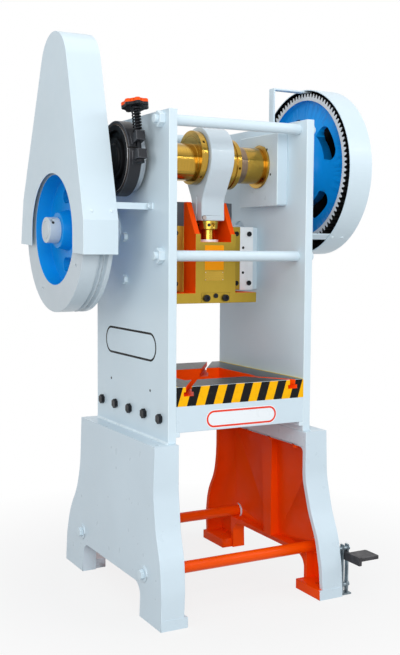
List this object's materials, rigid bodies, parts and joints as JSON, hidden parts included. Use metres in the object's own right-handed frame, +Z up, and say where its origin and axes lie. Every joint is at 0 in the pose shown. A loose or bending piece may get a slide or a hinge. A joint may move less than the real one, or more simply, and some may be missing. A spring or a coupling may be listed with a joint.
{
  "type": "mechanical stamping press",
  "caption": "Open-frame mechanical stamping press on cast legs, with a flywheel, gear drive, crank, connecting rod, guided ram, slotted bed and foot pedal.",
  "frame": {"origin": "centre of the four foundation bolt holes on the floor, midway between the side plates", "axes": "+X to the machine's right (gear side), +Y to the back, +Z up; the open front faces -Y"},
  "size_m": [1.025, 0.948, 1.953],
  "materials": {
    "pale_paint": "smooth pale blue-white paint",
    "orange_paint": "smooth orange paint",
    "dark_paint": "dark grey paint on castings",
    "stripe_paint": "machined grey top, striped and pale painted front",
    "ram_paint": "machined front with a warm tint, orange painted sides",
    "blue_paint": "bright blue paint with machined rims",
    "machined_steel": "turned steel under a film of oil",
    "bright_steel": "ground",
    "bronze": "turned bronze",
    "black_steel": "black oxide",
    "lining": "woven friction lining"
  },
  "bodies": {
    "frame": {"left_side_plate": "pale_paint", "right_side_plate": "pale_paint", "bed": "stripe_paint", "left_leg": "orange_paint", "right_leg": "orange_paint", "plate_tie_rods": "pale_paint", "tie_rod_nuts": "pale_paint", "leg_tie_rods": "orange_paint", "frame_bolts": "pale_paint", "small_bolts": "pale_paint", "left_bearing_block": "pale_paint", "right_bearing_block": "pale_paint", "left_main_bush": "bronze", "right_main_bush": "bronze", "left_shaft_housing": "pale_paint", "right_shaft_housing": "pale_paint", "left_gib_bracket": "bright_steel", "right_gib_bracket": "bright_steel", "left_gib_keeper": "machined_steel", "right_gib_keeper": "machined_steel", "gib_bolts": "black_steel", "belt_guard": "pale_paint", "belt_guard_strap": "pale_paint", "gear_guard": "pale_paint", "gear_guard_upper_strap": "pale_paint", "gear_guard_lower_strap": "pale_paint", "upper_brake_shoe": "dark_paint", "lower_brake_shoe": "dark_paint", "brake_linings": "lining", "brake_anchor": "dark_paint", "brake_bolt": "black_steel", "brake_spring": "black_steel", "pedal_guide": "black_steel", "trip_rod_guide": "black_steel", "pivot_studs": "black_steel"},
    "crank": {"crankshaft": "machined_steel", "pin_ring": "machined_steel", "shaft_ring": "machined_steel", "brake_drum": "machined_steel", "clutch_sleeve": "machined_steel", "gear_retainer": "machined_steel"},
    "connecting_rod": {"conrod": "pale_paint", "conrod_bush": "bronze", "ball_screw": "machined_steel", "lock_collar": "machined_steel", "pinch_bolt": "black_steel"},
    "slide": {"ram": "ram_paint", "shank_clamp": "machined_steel", "ball_cap": "bright_steel", "clamp_bolts": "black_steel"},
    "large_gear": {"drive_gear": "blue_paint", "gear_bush": "bronze"},
    "fast_shaft": {"back_shaft": "machined_steel", "pinion": "machined_steel", "flywheel": "blue_paint", "flywheel_collar": "machined_steel"},
    "pedal": {"pedal": "black_steel"},
    "trip_rod": {"trip_rod": "machined_steel"},
    "trip_latch": {"trip_latch": "dark_paint"},
    "brake_knob": {"brake_knob": "orange_paint"}
  },
  "joints": [
    {"name": "flywheel_turn", "type": "hinge", "parent": "frame", "child": "fast_shaft", "pos_m": [0, 0.155, 1.28083], "axis": [1, 0, 0], "continuous": true},
    {"name": "gear_turn", "type": "hinge", "parent": "frame", "child": "large_gear", "pos_m": [0, -0.05, 1.52], "axis": [1, 0, 0], "continuous": true},
    {"name": "crank_turn", "type": "hinge", "parent": "frame", "child": "crank", "pos_m": [0, -0.05, 1.52], "axis": [-1, 0, 0], "range_deg": [0, 180]},
    {"name": "rod_on_pin", "type": "hinge", "parent": "crank", "child": "connecting_rod", "pos_m": [0, -0.05, 1.538], "axis": [-1, 0, 0], "range_deg": [-180, 0]},
    {"name": "ram_slide", "type": "slide", "parent": "frame", "child": "slide", "axis": [0, 0, 1], "range_m": [-0.036, 0]},
    {"name": "pedal_press", "type": "hinge", "parent": "frame", "child": "pedal", "pos_m": [0, 0.05, 0.141], "axis": [1, 0, 0], "range_deg": [0, 8], "stiffness_Nm_per_rad": 60, "springref_deg": -22.92},
    {"name": "trip_rod_slide", "type": "slide", "parent": "frame", "child": "trip_rod", "axis": [0, 0, 1], "range_m": [-0.021, 0]},
    {"name": "latch_swing", "type": "hinge", "parent": "frame", "child": "trip_latch", "pos_m": [0, -0.175, 1.4], "axis": [-1, 0, 0], "range_deg": [0, 16.1]},
    {"name": "brake_knob_turn", "type": "hinge", "parent": "frame", "child": "brake_knob", "pos_m": [-0.334, -0.19031, 1.55239], "axis": [0, 0.225, 0.9744], "range_deg": [-180, 180]}
  ],
  "couplings": [
    {"joint": "gear_turn", "follows": "flywheel_turn", "ratio": -0.16667},
    {"joint": "rod_on_pin", "follows": "crank_turn", "ratio": -1},
    {"joint": "ram_slide", "follows": "crank_turn", "m_per_rad": -0.011459},
    {"joint": "trip_rod_slide", "follows": "pedal_press", "m_per_rad": -0.15},
    {"joint": "latch_swing", "follows": "pedal_press", "ratio": 2}
  ]
}
